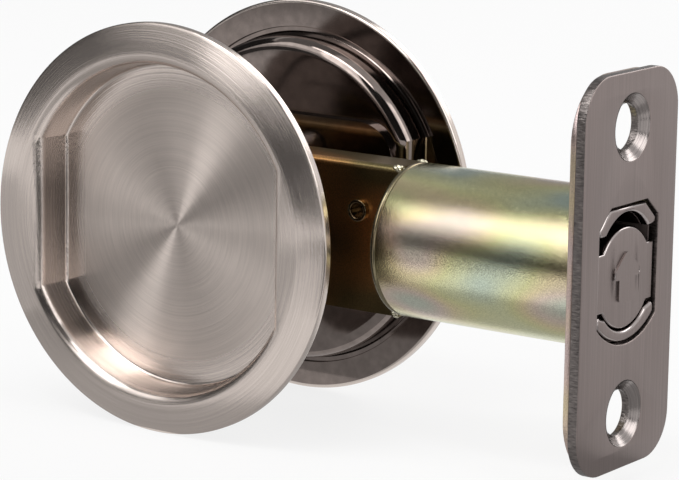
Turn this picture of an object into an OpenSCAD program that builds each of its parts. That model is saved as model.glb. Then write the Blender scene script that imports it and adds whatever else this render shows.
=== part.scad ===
// Round pocket door lock, passage type: two flush pull cups joined through the
// door, and a tubular edge unit whose face plate carries a pop-out finger pull.
// Origin: where the axis of the cups (Y) crosses the axis of the tube (X), at
// the middle of the door's thickness. +X leaves the door's edge and +Z is up.

/* [Door] */
// Thickness of the door between the two rims
door_t = 35; // [34:0.5:40]
// Distance from the cups' axis to the front of the face plate
backset = 69.85; // [68:0.05:76]

/* [Pull cups] */
// Outside diameter of a rim
rim_d = 62; // [59:0.5:66]
// Height of the rim's outer edge above the door
rim_edge_t = 1.6; // [1.2:0.1:1.8]
// Height of the rim's crest above the door
rim_rise = 2.6; // [2.2:0.1:3.2]
// Diameter of the recess
recess_d = 49.6; // [48:0.2:51]
// Distance between the two flat finger walls
flat_gap = 44; // [42:0.2:45]
// Depth of the drawn body behind the rim
body_depth = 4.5; // [4:0.1:5]
// Thickness of the drawn sheet
cup_sheet = 1.1; // [0.9:0.1:1.3]

/* [Cup fixing] */
// Length of a saddle plate along the door
saddle_l = 42; // [36:0.5:44]
// Height of a saddle plate
saddle_h = 28; // [24:0.5:30]
// Thickness of a saddle plate
saddle_t = 1.2; // [1:0.1:1.4]
// Diameter of a post
post_d = 5; // [4.6:0.1:5]
// Diameter of a machine screw's shank
screw_d = 3.5; // [3:0.1:3.6]
// Diameter of a machine screw's head
screw_head_d = 7; // [6:0.2:8]

/* [Face plate] */
// Width of the face plate
plate_w = 25.4; // [24:0.1:28]
// Height of the face plate
plate_h = 57.15; // [56:0.05:62]
// Thickness of the face plate
plate_t = 1.6; // [1.4:0.1:2]
// Radius of its corners
plate_corner_r = 6.35; // [4:0.05:8]
// Distance between the two screw holes
hole_pitch = 41.28; // [40:0.01:43]
// Diameter of a screw hole
hole_d = 6.6; // [5:0.1:7]
// Diameter of the countersink
sink_d = 9.6; // [8.6:0.1:10]
// Width of the window for the finger pull
window_w = 16.2; // [15.8:0.1:17]
// Thickness of the backing plate
back_t = 0.9; // [0.8:0.1:1.2]

/* [Tube and case] */
// Outside diameter of the tube
tube_d = 22.9; // [22.7:0.1:24]
// Wall of the tube
tube_wall = 1; // [0.8:0.1:1]
// Distance from the cups' axis to the rear end of the tube
tube_start = 34.2; // [33:0.1:35]
// Thickness of the case across the door
case_w = 7; // [6.8:0.1:7.4]
// Sheet of the case
case_sheet = 1.2; // [1:0.1:1.2]
// Length of the case behind the cups' axis
case_tail = 14; // [13:0.5:18]

/* [Finger pull] */
// Diameter of the round of the pull's head
head_d = 14.6; // [14:0.1:14.6]
// Width of the guide band across the head
band_w = 15.2; // [14.8:0.1:15.4]
// Height of the guide band
band_h = 8.5; // [8:0.1:8.6]
// Lift that frees the pull
lift = 1.8; // [1.4:0.1:1.8]
// Travel of the freed pull out of the plate
travel = 12.7; // [8:0.1:13]

/* [Hidden] */
$fn = 96;

satin_nickel = [0.66, 0.60, 0.57];
dark_nickel = [0.47, 0.43, 0.42];
zinc_yellow = [0.74, 0.70, 0.48];
bright_steel = [0.72, 0.72, 0.72];

// Overrun of a cut past the face that it leaves
over = 1;
// Gap between pieces that move past each other
gap = 0.3;
// Gap left where a spring's end rests
rest_gap = 0.1;

// Cups. A height is measured out of the door's face.
rim_r = rim_d / 2;
recess_r = recess_d / 2;
body_r = recess_r + cup_sheet;
edge_round = 0.5;
mouth_round = 1.6;
floor_round = 0.5;
body_round = 2.2;
wall_draft = 0.3;
groove_w = 0.8;
groove_depth = 0.4;
crest_r = recess_r + mouth_round;
floor_height = cup_sheet - body_depth;
// Shares of the way from the rim's edge to its crest, across and up
crown_across_shares = [0.3, 0.65];
crown_up_shares = [0.5, 0.86];
arc_steps = 6;
flat_body_w = flat_gap + 2 * cup_sheet;

// Fixing
half_door = door_t / 2;
floor_back_y = half_door - body_depth;
floor_front_y = floor_back_y + cup_sheet;
saddle_inner_y = floor_back_y - saddle_t;
saddle_corner_r = 6;
post_r = post_d / 2;
post_end_gap = 1.8;
screw_reach = 12;
screw_head_t = 1.6;
screw_slot_w = 1.1;
screw_slot_depth = 0.8;
screw_slot_share = 0.6;
thread_play = 0.05;

// Face plate and what lies behind it
plate_front = backset;
plate_back = plate_front - plate_t;
back_rear = plate_back - back_t;
back_inset = 0.2;
back_corner_r = 9;
sink_land = 0.4;
window_top = 9.8;
window_flat_half = 5;
window_chamfer_drop = 2.6;
window_side_z = -7.14;
window_arc_r = 11.7;
window_arc_z = 1.3;

// Tube
tube_r = tube_d / 2;
bore_r = tube_r - tube_wall;
cap_flange_t = 1;
cap_edge_round = 0.5;
cap_plug_t = 1;
cap_rear = tube_start - cap_flange_t;
cap_front = tube_start + cap_plug_t;

// Case: as high as the tube, but for a small step, and as deep as its sheet.
// The posts stand against its top and its base, and the stem runs between them.
case_inset = 0.25;
post_clear = 0.1;
stem_clear = 0.5;
case_h = tube_d - 2 * case_inset;
post_z = case_h / 2 - case_sheet - post_clear - post_d / 2;
case_rear = -case_tail;
case_front = cap_rear;
case_half_w = case_w / 2;
case_half_h = case_h / 2;
case_inner_half_w = case_half_w - case_sheet;
case_bend_r = 1;
cross_pin_r = 1.65;
cross_pin_proud = 0.95;
cross_pin_end_bore_r = 1.15;
cross_pin_end_bore_depth = 1.4;
cross_pin_clear = 0.55;
front_pin_x = 26;
rear_pin_x = -9;
base_top_z = case_sheet - case_half_h;
catch_rear_x = 5;
catch_l = 9;
catch_foot_t = 1;
catch_tooth_t = 1.2;

// Guide insert
insert_l = 11.25;
insert_r = bore_r - rest_gap;
insert_rear = plate_back - insert_l;
nose_inset = 0.3;
nose_step_inset = 0.9;
nose_step_back = 0.6;
nose_front = plate_front - 0.2;
nose_step_x = nose_front - nose_step_back;

// Finger pull
head_z = -lift / 2;
head_r = head_d / 2;
head_recess = 0.45;
head_front = plate_front - head_recess;
head_t = 4.2;
head_rear = head_front - head_t;
neck_w = 8;
neck_h = 8;
shank_r = 6.5;
shank_l = 7;
shank_rear = 50;
shank_front = shank_rear + shank_l;
arrow_proud = 0.35;
arrow_tip = 3.9;
arrow_wing_half = 3.4;
arrow_wing_top = 0.9;
arrow_wing_bottom = 0.2;
arrow_stem_half = 2;
arrow_foot = -3.2;

// Stem, a flat bar
stem_t = 3;
stem_h = 4.4;
stem_bottom = post_r + stem_clear - post_z;
stem_top = stem_bottom + stem_h;
stem_mid = stem_bottom + stem_h / 2;
stem_rear = -4;
stem_socket = 6;
notch_w = 1.8;
notch_depth = 1.4;
stem_pin_r = 1;
stem_pin_half_l = 6;
stem_pin_x = shank_rear + stem_socket / 2;
stop_pin_r = 1.2;
stop_pin_half_l = case_inner_half_w - gap;
stop_pin_x = cap_rear - gap - stop_pin_r - travel;

// The two cross pins pass above the lifted stem
cross_pin_z = stem_top + lift + cross_pin_clear + cross_pin_r;

// Lift block
block_rear = cap_front + gap;
block_l = 5;
block_front = block_rear + block_l;
block_half_w = 6;
block_top = 5.9;
block_r = bore_r - gap;

// Springs
lift_wire_r = 0.25;
lift_coil_r = 1.7;
lift_turns = 4;
pull_wire_r = 0.4;
pull_coil_r = 3.4;
pull_turns = 6;
coil_steps = 16;
coil_sides = 8;
lift_coil_x = block_rear + block_l / 2;
lift_coil_bottom = block_top + lift_wire_r + rest_gap;
lift_coil_top = sqrt(pow(bore_r, 2) - pow(lift_coil_r + lift_wire_r, 2)) - lift_wire_r - rest_gap;
pull_coil_rear = block_front + pull_wire_r + rest_gap;
pull_coil_front = shank_rear - pull_wire_r;

function arc(cx, cy, r, a, b, n = arc_steps) =
    [for (i = [0:n]) [cx + r * cos(a + (b - a) * i / n), cy + r * sin(a + (b - a) * i / n)]];
function unit(v) = v / norm(v);
function heading(p, i) = unit(p[min(i + 1, len(p) - 1)] - p[max(i - 1, 0)]);
function ring(p, i, r, up, sides) =
    let (t = heading(p, i), s = unit(cross(t, up)), u = cross(s, t))
    [for (k = [0:sides - 1]) p[i] + r * (s * cos(360 * k / sides) + u * sin(360 * k / sides))];

// Round wire of radius r along a path of points
module wire(p, r, up, sides = coil_sides) {
    n = len(p);
    polyhedron(
        points = [for (i = [0:n - 1]) each ring(p, i, r, up, sides)],
        faces = concat(
            [[for (k = [0:sides - 1]) k]],
            [for (i = [0:n - 2], k = [0:sides - 1])
                [i * sides + k, (i + 1) * sides + k,
                 (i + 1) * sides + (k + 1) % sides, i * sides + (k + 1) % sides]],
            [[for (k = [sides - 1:-1:0]) (n - 1) * sides + k]]));
}

// Extrudes a flat shape along X, with its x on the part's Y and its y on Z
module along_x(x0, x1) {
    translate([x0, 0, 0]) rotate([90, 0, 90]) linear_extrude(height = x1 - x0) children();
}
// Extrudes a flat shape along Y, with its x on the part's X and its y on Z
module along_y(y0, y1) {
    translate([0, y1, 0]) rotate([90, 0, 0]) linear_extrude(height = y1 - y0) children();
}
module rod_y(r, y0, y1) {
    translate([0, y1, 0]) rotate([90, 0, 0]) cylinder(r = r, h = y1 - y0);
}
module box_from(a, b) {
    translate(a) cube(b - a);
}
module rounded_outline(w, h, r) {
    for (s = [-1, 1], t = [-1, 1]) translate([s * (w / 2 - r), t * (h / 2 - r)]) circle(r);
    square([w, h - 2 * r], center = true);
    square([w - 2 * r, h], center = true);
}

// Cup, drawn with its axis on Z and its face up. The body and the recess are
// round, cut off flat at the two finger walls; the rim stays a full disc.
module rim_profile() {
    crown = [for (i = [0:len(crown_across_shares) - 1])
        [rim_r + (crest_r - rim_r) * crown_across_shares[i],
         rim_edge_t + (rim_rise - rim_edge_t) * crown_up_shares[i]]];
    polygon(concat(
        [[0, 0], [body_r, 0], [body_r, groove_depth], [body_r + groove_w, groove_depth],
         [body_r + groove_w, 0], [rim_r, 0]],
        arc(rim_r - edge_round, rim_edge_t - edge_round, edge_round, 0, 75),
        crown,
        [[crest_r, rim_rise], [0, rim_rise]]));
}
module body_profile(reach) {
    polygon(concat([[0, groove_depth], [0, -body_depth]],
        arc(reach - wall_draft - body_round, body_round - body_depth, body_round, -90, 0),
        [[reach, groove_depth]]));
}
module cavity_profile(reach) {
    polygon(concat([[0, floor_height]],
        arc(reach - wall_draft - floor_round, floor_height + floor_round, floor_round, -90, 0),
        arc(reach + mouth_round, rim_rise - mouth_round, mouth_round, 180, 90),
        [[reach + mouth_round, rim_rise + over], [0, rim_rise + over]]));
}
// Runs a profile straight along the two finger walls
module along_walls() {
    rotate([90, 0, 0]) linear_extrude(2 * rim_r, center = true)
        for (m = [0, 1]) mirror([m, 0]) children();
}
// The drawn body and the recess are round, and cut short by the finger walls,
// which have the same lip and the same corner as the round stretches
module cup_blank() {
    difference() {
        union() {
            rotate_extrude() rim_profile();
            intersection() {
                rotate_extrude() body_profile(body_r);
                along_walls() body_profile(flat_body_w / 2);
            }
        }
        intersection() {
            rotate_extrude() cavity_profile(recess_r);
            along_walls() cavity_profile(flat_gap / 2);
        }
    }
}
module screw_holes(y0, y1) {
    for (s = [-1, 1]) translate([0, 0, s * post_z]) rod_y(screw_d / 2 + gap, y0, y1);
}
module front_cup() {
    color(satin_nickel) translate([0, -half_door, 0]) rotate([90, 0, 0]) cup_blank();
}
module rear_cup() {
    color(satin_nickel) difference() {
        translate([0, half_door, 0]) rotate([-90, 0, 0]) cup_blank();
        screw_holes(floor_back_y - over, floor_front_y + over);
    }
}

// Saddle plates, posts and screws that draw the two cups together
module front_saddle() {
    color(dark_nickel) along_y(-floor_back_y, -saddle_inner_y)
        rounded_outline(saddle_l, saddle_h, saddle_corner_r);
}
module rear_saddle() {
    color(dark_nickel) difference() {
        along_y(saddle_inner_y, floor_back_y) rounded_outline(saddle_l, saddle_h, saddle_corner_r);
        screw_holes(saddle_inner_y - over, floor_back_y + over);
    }
}
module post(s) {
    color(bright_steel) translate([0, 0, s * post_z]) difference() {
        rod_y(post_r, -saddle_inner_y, saddle_inner_y - post_end_gap);
        rod_y(screw_d / 2 + thread_play, saddle_inner_y - post_end_gap - screw_reach, saddle_inner_y);
    }
}
module upper_post() {
    post(1);
}
module lower_post() {
    post(-1);
}
module cup_screw(s) {
    top = floor_front_y + screw_head_t;
    half_slot = screw_head_d * screw_slot_share / 2;
    color(bright_steel) translate([0, 0, s * post_z]) difference() {
        union() {
            rod_y(screw_d / 2, saddle_inner_y - screw_reach, floor_front_y);
            rod_y(screw_head_d / 2, floor_front_y, top);
        }
        box_from([-half_slot, top - screw_slot_depth, -screw_slot_w / 2],
            [half_slot, top + over, screw_slot_w / 2]);
        box_from([-screw_slot_w / 2, top - screw_slot_depth, -half_slot],
            [screw_slot_w / 2, top + over, half_slot]);
    }
}
module upper_screw() {
    cup_screw(1);
}
module lower_screw() {
    cup_screw(-1);
}

// Case: a folded channel, open below, that the posts and two cross pins pass
module case_bores() {
    for (s = [-1, 1]) translate([0, 0, s * post_z]) rod_y(post_r + gap, -case_w, case_w);
    for (x = [front_pin_x, rear_pin_x]) translate([x, 0, cross_pin_z]) rod_y(cross_pin_r, -case_w, case_w);
}
module channel_outline() {
    difference() {
        union() {
            translate([-case_half_w, -case_half_h]) square([case_w, case_h - case_bend_r]);
            translate([case_bend_r - case_half_w, 0]) square([case_w - 2 * case_bend_r, case_half_h]);
            for (s = [-1, 1])
                translate([s * (case_half_w - case_bend_r), case_half_h - case_bend_r]) circle(case_bend_r);
        }
        translate([-case_inner_half_w, -case_half_h - over])
            square([2 * case_inner_half_w, case_h - case_sheet + over]);
    }
}
module latch_case() {
    color(zinc_yellow) difference() {
        along_x(case_rear, case_front) channel_outline();
        case_bores();
    }
}
module case_base() {
    color(zinc_yellow) box_from([case_rear, -case_inner_half_w, -case_half_h],
        [case_front, case_inner_half_w, base_top_z]);
}
module cross_pin(x) {
    end = case_half_w + cross_pin_proud;
    color(zinc_yellow) translate([x, 0, cross_pin_z]) difference() {
        rod_y(cross_pin_r, -end, end);
        rod_y(cross_pin_end_bore_r, -end - over, cross_pin_end_bore_depth - end);
        rod_y(cross_pin_end_bore_r, end - cross_pin_end_bore_depth, end + over);
    }
}
module front_pin() {
    cross_pin(front_pin_x);
}
module rear_pin() {
    cross_pin(rear_pin_x);
}
// Catch plate, whose tooth stands under the notch of the stem
module catch_plate() {
    foot_top = base_top_z + catch_foot_t;
    mid = catch_rear_x + catch_l / 2;
    color(bright_steel) {
        box_from([catch_rear_x, -case_inner_half_w, base_top_z],
            [catch_rear_x + catch_l, case_inner_half_w, foot_top]);
        box_from([mid - catch_tooth_t / 2, -case_inner_half_w, base_top_z],
            [mid + catch_tooth_t / 2, case_inner_half_w, stem_bottom - gap]);
    }
}

// Tube and its end cap
module latch_tube() {
    color(zinc_yellow) difference() {
        along_x(tube_start, plate_back) circle(tube_r);
        along_x(tube_start - over, plate_back + over) circle(bore_r);
    }
}
module tube_cap() {
    color(zinc_yellow) difference() {
        union() {
            translate([cap_rear, 0, 0]) rotate([0, 90, 0]) rotate_extrude()
                polygon(concat([[0, 0]],
                    arc(tube_r - cap_edge_round, cap_edge_round, cap_edge_round, -90, 0),
                    [[tube_r, cap_flange_t], [0, cap_flange_t]]));
            along_x(tube_start, cap_front) circle(bore_r);
        }
        box_from([cap_rear - over, -stem_t / 2 - gap, stem_bottom - gap],
            [cap_front + over, stem_t / 2 + gap, stem_top + lift + gap]);
    }
}

// Face plate and backing plate
module plate_bores() {
    for (s = [-1, 1]) translate([0, 0, s * hole_pitch / 2]) rotate([0, 90, 0]) {
        translate([0, 0, back_rear - over]) cylinder(r = hole_d / 2, h = back_t + plate_t + over);
        translate([0, 0, plate_back + sink_land])
            cylinder(r1 = hole_d / 2, r2 = sink_d / 2, h = plate_t - sink_land);
        translate([0, 0, plate_front]) cylinder(r = sink_d / 2, h = over);
    }
}
// Window: flat top, two chamfers, straight sides and a round bottom
module window_outline(inset = 0) {
    half = window_w / 2 - inset;
    top = window_top - inset;
    intersection() {
        polygon([[-half, -window_arc_r], [half, -window_arc_r], [half, top - window_chamfer_drop],
            [window_flat_half, top], [-window_flat_half, top], [-half, top - window_chamfer_drop]]);
        union() {
            translate([0, window_arc_z]) circle(window_arc_r - inset);
            translate([-half, window_side_z]) square([2 * half, window_top - window_side_z]);
        }
    }
}
module face_plate() {
    color(dark_nickel) difference() {
        along_x(plate_back, plate_front) rounded_outline(plate_w, plate_h, plate_corner_r);
        along_x(plate_back - over, plate_front + over) window_outline();
        plate_bores();
    }
}
module back_plate() {
    color(zinc_yellow) difference() {
        along_x(back_rear, plate_back)
            rounded_outline(plate_w - back_inset, plate_h - back_inset, back_corner_r);
        along_x(back_rear - over, plate_back + over) circle(tube_r);
        plate_bores();
    }
}

// Guide insert: a round body in the tube with a nose that fills the window above
// and below the finger pull and leaves the pull room to slide out and to lift
module guide_hole() {
    for (z = [head_z, head_z + lift]) translate([0, z]) circle(head_r + gap);
    translate([-head_r - gap, head_z]) square([head_d + 2 * gap, lift]);
    translate([-window_w / 2, head_z - band_h / 2 - gap]) square([window_w, band_h + lift + 2 * gap]);
}
module guide_insert() {
    color(dark_nickel) difference() {
        union() {
            along_x(insert_rear, plate_back) circle(insert_r);
            along_x(plate_back, nose_step_x) window_outline(nose_inset);
            along_x(nose_step_x, nose_front) window_outline(nose_step_inset);
        }
        along_x(insert_rear - over, plate_front) guide_hole();
    }
}

// Lift block: rises with the pull and lets the stem slide through it
module lift_block() {
    color(bright_steel) difference() {
        along_x(block_rear, block_front) intersection() {
            circle(block_r);
            translate([-block_half_w, -block_r]) square([2 * block_half_w, block_r + block_top]);
        }
        box_from([block_rear - over, -stem_t / 2 - gap, stem_bottom - gap],
            [block_front + over, stem_t / 2 + gap, stem_top + gap]);
    }
}
module lift_spring() {
    n = lift_turns * coil_steps;
    color(bright_steel) wire(
        [for (i = [0:n]) [lift_coil_x + lift_coil_r * cos(360 * i / coil_steps),
            lift_coil_r * sin(360 * i / coil_steps),
            lift_coil_bottom + (lift_coil_top - lift_coil_bottom) * i / n]],
        lift_wire_r, [0, 0, 1]);
}

// Finger pull, its stem and the pins through them
module arrow_outline() {
    polygon([[-arrow_stem_half, arrow_foot], [arrow_stem_half, arrow_foot],
        [arrow_stem_half, arrow_wing_bottom], [arrow_wing_half, arrow_wing_bottom],
        [arrow_wing_half, arrow_wing_top], [0, arrow_tip], [-arrow_wing_half, arrow_wing_top],
        [-arrow_wing_half, arrow_wing_bottom], [-arrow_stem_half, arrow_wing_bottom]]);
}
module edge_pull() {
    color(dark_nickel) difference() {
        translate([0, 0, head_z]) {
            along_x(head_rear, head_front) circle(head_r);
            along_x(head_rear, head_front) square([band_w, band_h], center = true);
            along_x(head_front, head_front + arrow_proud) arrow_outline();
            along_x(shank_front, head_rear) square([neck_w, neck_h], center = true);
            along_x(shank_rear, shank_front) circle(shank_r);
        }
        box_from([shank_rear - over, -stem_t / 2, stem_bottom],
            [shank_rear + stem_socket, stem_t / 2, stem_top]);
        translate([stem_pin_x, 0, stem_mid]) rod_y(stem_pin_r, -head_d, head_d);
    }
}
module pull_stem() {
    notch_mid = catch_rear_x + catch_l / 2;
    color(bright_steel) difference() {
        box_from([stem_rear, -stem_t / 2, stem_bottom], [shank_rear + stem_socket, stem_t / 2, stem_top]);
        box_from([notch_mid - notch_w / 2, -stem_t, stem_bottom - over],
            [notch_mid + notch_w / 2, stem_t, stem_bottom + notch_depth]);
        translate([stem_pin_x, 0, stem_mid]) rod_y(stem_pin_r, -stem_t, stem_t);
        translate([stop_pin_x, 0, stem_mid]) rod_y(stop_pin_r, -stem_t, stem_t);
    }
}
module stem_pin() {
    color(bright_steel) translate([stem_pin_x, 0, stem_mid])
        rod_y(stem_pin_r, -stem_pin_half_l, stem_pin_half_l);
}
module stop_pin() {
    color(bright_steel) translate([stop_pin_x, 0, stem_mid])
        rod_y(stop_pin_r, -stop_pin_half_l, stop_pin_half_l);
}
module pull_spring() {
    n = pull_turns * coil_steps;
    color(bright_steel) wire(
        [for (i = [0:n]) [pull_coil_rear + (pull_coil_front - pull_coil_rear) * i / n,
            pull_coil_r * cos(360 * i / coil_steps),
            stem_mid + pull_coil_r * sin(360 * i / coil_steps)]],
        pull_wire_r, [1, 0, 0]);
}

front_cup();
rear_cup();
front_saddle();
rear_saddle();
upper_post();
lower_post();
upper_screw();
lower_screw();
latch_case();
case_base();
front_pin();
rear_pin();
catch_plate();
tube_cap();
latch_tube();
back_plate();
face_plate();
guide_insert();
lift_block();
lift_spring();
edge_pull();
pull_stem();
stem_pin();
stop_pin();
pull_spring();
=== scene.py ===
import bpy, bmesh, math
from mathutils import Vector, Matrix
from mathutils.noise import noise as lumps


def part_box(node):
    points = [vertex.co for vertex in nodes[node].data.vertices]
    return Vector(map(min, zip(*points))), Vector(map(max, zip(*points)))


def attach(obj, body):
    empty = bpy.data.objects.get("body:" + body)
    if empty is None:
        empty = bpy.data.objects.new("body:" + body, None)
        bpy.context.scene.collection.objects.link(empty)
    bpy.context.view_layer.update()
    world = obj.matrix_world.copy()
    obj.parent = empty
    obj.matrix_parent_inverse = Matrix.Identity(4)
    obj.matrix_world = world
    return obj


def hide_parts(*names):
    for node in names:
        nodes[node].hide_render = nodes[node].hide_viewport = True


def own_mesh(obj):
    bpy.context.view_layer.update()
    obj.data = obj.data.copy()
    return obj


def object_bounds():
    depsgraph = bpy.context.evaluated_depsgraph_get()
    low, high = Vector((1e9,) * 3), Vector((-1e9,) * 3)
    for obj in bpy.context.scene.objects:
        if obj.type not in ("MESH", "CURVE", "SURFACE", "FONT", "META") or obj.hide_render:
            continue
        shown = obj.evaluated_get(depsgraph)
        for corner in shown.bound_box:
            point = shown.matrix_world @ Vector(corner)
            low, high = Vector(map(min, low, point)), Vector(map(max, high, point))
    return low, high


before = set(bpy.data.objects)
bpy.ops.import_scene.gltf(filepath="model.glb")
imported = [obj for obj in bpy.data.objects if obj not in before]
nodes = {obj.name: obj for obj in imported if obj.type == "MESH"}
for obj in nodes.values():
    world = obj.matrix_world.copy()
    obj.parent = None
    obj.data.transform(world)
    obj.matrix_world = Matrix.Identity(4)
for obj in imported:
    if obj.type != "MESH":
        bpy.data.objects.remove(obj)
cad_lo, cad_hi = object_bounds()


# Camera: the photograph was taken from the front right, a little above the
# latch, with a long lens. Its place is in millimetres and its lens in pixels.
scene = bpy.context.scene
mm = 0.001
photo_w, photo_h, sensor_w = 679, 480, 36
azimuth, elevation, roll = math.radians(35.41), math.radians(11.44), math.radians(0.84)
focal_px = 3190
axis_px_x, axis_px_y = 337, 238
camera_at = Vector((291.3, -382.5, 93.3)) * mm
nearest = 10 * mm
cam_data = bpy.data.cameras.new("camera")
camera = bpy.data.objects.new("camera", cam_data)
scene.collection.objects.link(camera)
scene.camera = camera
backward = Vector((math.sin(azimuth) * math.cos(elevation), -math.cos(azimuth) * math.cos(elevation),
                   math.sin(elevation)))
rightward = Vector((math.cos(azimuth), math.sin(azimuth), 0))
turn = Matrix((rightward, backward.cross(rightward), backward)).transposed().to_4x4()
camera.matrix_world = Matrix.Translation(camera_at) @ turn @ Matrix.Rotation(roll, 4, "Z")
cam_data.sensor_width = sensor_w
cam_data.lens = focal_px * sensor_w / photo_w
cam_data.shift_x = (photo_w / 2 - axis_px_x) / photo_w
cam_data.shift_y = (axis_px_y - photo_h / 2) / photo_w
cam_data.clip_start = nearest
cam_data.dof.use_dof = False


# Studio: the rims stand on a pale table in a white surround. Soft boxes hang
# above it, dark flags stand round it and grey cards lie on it. Flags and cards
# are seen in the metal alone, as plated ware is lit by what it mirrors.
table_w, table_shown, card_lift = 12, 0.83, 0.4 * mm
box_distance, flag_distance = 1.2, 1.3
scene.view_settings.view_transform = "Standard"
world = bpy.data.worlds.new("surround")
scene.world = world
world.use_nodes = True
bpy.ops.mesh.primitive_plane_add(size=table_w, location=(0, 0, cad_lo.z))
floor = bpy.context.object
floor.name = "floor"
floor_look = bpy.data.materials.new("floor")
floor_look.use_nodes = True
floor.data.materials.append(floor_look)

def surround(tree, lit_type, lit_grey, shown_type, output_type, shown_share):
    """A grey that lights the object, and white where the camera, glass or metal sees it"""
    tree.nodes.clear()
    path = tree.nodes.new("ShaderNodeLightPath")
    seen = path.outputs["Is Camera Ray"]
    for ray in ("Is Transmission Ray", "Is Glossy Ray"):
        either = tree.nodes.new("ShaderNodeMath")
        either.operation = "MAXIMUM"
        tree.links.new(seen, either.inputs[0])
        tree.links.new(path.outputs[ray], either.inputs[1])
        seen = either.outputs[0]
    share = tree.nodes.new("ShaderNodeMath")
    share.operation = "MULTIPLY"
    share.inputs[1].default_value = shown_share
    tree.links.new(seen, share.inputs[0])
    lit = tree.nodes.new(lit_type)
    lit.inputs["Color"].default_value = (lit_grey, lit_grey, lit_grey, 1)
    shown = tree.nodes.new(shown_type)
    shown.inputs["Color"].default_value = (1, 1, 1, 1)
    mix = tree.nodes.new("ShaderNodeMixShader")
    tree.links.new(share.outputs[0], mix.inputs[0])
    tree.links.new(lit.outputs[0], mix.inputs[1])
    tree.links.new(shown.outputs[0], mix.inputs[2])
    tree.links.new(mix.outputs[0], tree.nodes.new(output_type).inputs[0])

surround(world.node_tree, "ShaderNodeBackground", 0.35, "ShaderNodeBackground", "ShaderNodeOutputWorld", 1)
surround(floor_look.node_tree, "ShaderNodeBsdfDiffuse", 0.85, "ShaderNodeEmission",
         "ShaderNodeOutputMaterial", table_shown)

def aim(obj, bearing, rise, distance):
    """Hangs an object round the latch, facing it; bearing 0 is in front and 90 on the right"""
    a, e = math.radians(bearing), math.radians(rise)
    obj.location = Vector((math.sin(a) * math.cos(e), -math.cos(a) * math.cos(e), math.sin(e))) * distance
    obj.rotation_euler = obj.location.to_track_quat("Z", "Y").to_euler()

def card(name, grey, wide, tall):
    look = bpy.data.materials.new(name)
    look.use_nodes = True
    look.node_tree.nodes.clear()
    paper = look.node_tree.nodes.new("ShaderNodeEmission")
    paper.inputs["Color"].default_value = (grey, grey, grey, 1)
    output = look.node_tree.nodes.new("ShaderNodeOutputMaterial")
    look.node_tree.links.new(paper.outputs[0], output.inputs["Surface"])
    bpy.ops.mesh.primitive_plane_add(size=1)
    board = bpy.context.object
    board.name = name
    board.scale = (wide, tall, 1)
    board.visible_camera = False
    board.visible_shadow = False
    board.visible_diffuse = False
    board.data.materials.append(look)
    return board

for name, bearing, rise, wide, tall, radiance in (
        ("box_right", -14, 47, 0.46, 0.92, 2.8),
        ("box_left", -44, 42, 0.53, 0.42, 1.1),
        ("box_edge", 82, 38, 0.6, 0.85, 2.6),
        ("box_high", -8, 65, 0.85, 0.22, 5.5),
        ("box_behind", 170, 36, 0.8, 0.6, 3)):
    light = bpy.data.lights.new(name, "AREA")
    light.shape = "RECTANGLE"
    light.size = wide
    light.size_y = tall
    light.energy = radiance * math.pi * wide * tall
    lamp = bpy.data.objects.new(name, light)
    scene.collection.objects.link(lamp)
    aim(lamp, bearing, rise, box_distance)

for name, grey, bearing, rise, wide, tall, distance in (
        ("flag_left", 0.04, -92, 20, 1.35, 1.3, flag_distance),
        ("flag_low", 0.1, -48, 10, 0.9, 0.5, flag_distance),
        ("flag_over", 0.34, -100, 66, 1.3, 0.8, flag_distance),
        ("flag_back", 0.34, -140, 25, 1.0, 1.0, flag_distance),
        ("flag_right", 0.03, 35, 38, 1.6, 1.0, flag_distance),
        ("flag_foot", 0.02, -20, -1, 0.09, 0.055, 0.258),
        ("flag_sill", 0.02, -4, 4, 0.21, 0.108, 0.332)):
    aim(card(name, grey, wide, tall), bearing, rise, distance)

for name, grey, x, y, wide, deep in (
        ("table_front", 0.58, -0.18, -0.065, 0.24, 0.17),
        ("table_ahead", 0.9, -0.18, -0.1875, 0.24, 0.075),
        ("table_corner", 0.95, -0.5725, -0.345, 0.715, 0.11),
        ("table_gap", 0.5, -0.1725, -0.345, 0.085, 0.11),
        ("table_near", 0.48, 0.04, -0.01, 0.2, 0.04),
        ("table_step", 0.4, -0.039, -0.095, 0.042, 0.13),
        ("table_bright", 0.95, 0.0085, -0.095, 0.053, 0.13),
        ("table_far", 0.5, -0.53, -0.655, 0.8, 0.51),
        ("table_right", 0.12, 0.115, -0.16, 0.16, 0.2),
        ("table_middle", 0.36, -0.003, -0.3, 0.026, 0.28),
        ("table_behind", 0.86, 0.17, 0.135, 0.26, 0.25)):
    card(name, grey, wide, deep).location = (x, y, cad_lo.z + card_lift)


# Pull cups: flush pulls drawn from sheet, satin nickel plated and spun brushed
# in front, dark and glossy behind. The recess is round and cut short by two
# finger walls; its lip rolls over all round into a low crowned rim.
def mixed(tree, operation, first, second=None):
    """Vector maths on one or two sockets or values"""
    node = tree.nodes.new("ShaderNodeVectorMath")
    node.operation = operation
    for socket, value in zip(node.inputs, (first, second)):
        if isinstance(value, tuple):
            socket.default_value = value
        elif value is not None:
            tree.links.new(value, socket)
    return node.outputs[0]

def length(tree, vector):
    node = tree.nodes.new("ShaderNodeVectorMath")
    node.operation = "LENGTH"
    tree.links.new(vector, node.inputs[0])
    return node.outputs["Value"]

def noise(tree, at, scale, detail=2.0):
    node = tree.nodes.new("ShaderNodeTexNoise")
    node.inputs["Scale"].default_value = scale
    node.inputs["Detail"].default_value = detail
    tree.links.new(at, node.inputs["Vector"])
    return node.outputs["Fac"]

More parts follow.
